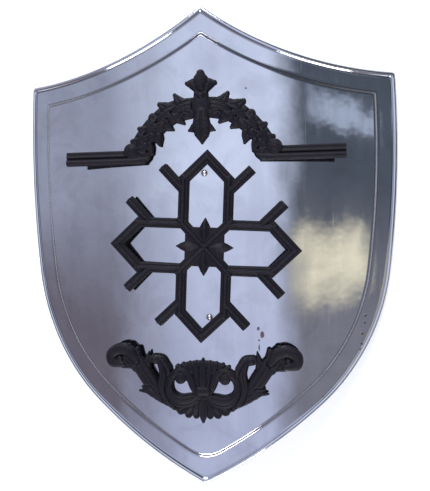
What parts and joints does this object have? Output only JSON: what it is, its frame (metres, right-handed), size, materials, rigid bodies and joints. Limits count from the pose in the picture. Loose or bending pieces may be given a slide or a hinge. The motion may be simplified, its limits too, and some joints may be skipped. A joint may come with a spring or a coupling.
{
  "type": "heater shield",
  "caption": "Bowed steel heater shield with rolled rim, raised panel, black iron leaf arch, lattice cross and acanthus scroll on its face, and a strap grip behind.",
  "frame": {"origin": "middle of the bounding box's base, the plane that the rim lies on when the shield rests on its back", "axes": "+X across the shield, +Y up the shield to the apex, +Z out of its face"},
  "size_m": [0.4938, 0.61, 0.0622],
  "materials": {
    "plate_steel": "polished, softly clouded and smudged",
    "black_iron": "matte black with brown showing through",
    "grip_steel": "mill finish, dull",
    "rivet_steel": "bright, lightly scuffed"
  },
  "bodies": {
    "root": {"shield_plate": "plate_steel", "arch_ornament": "black_iron", "cross_ornament": "black_iron", "scroll_ornament": "black_iron", "grip_strap": "grip_steel", "upper_rivet": "rivet_steel", "lower_rivet": "rivet_steel"}
  },
  "joints": []
}
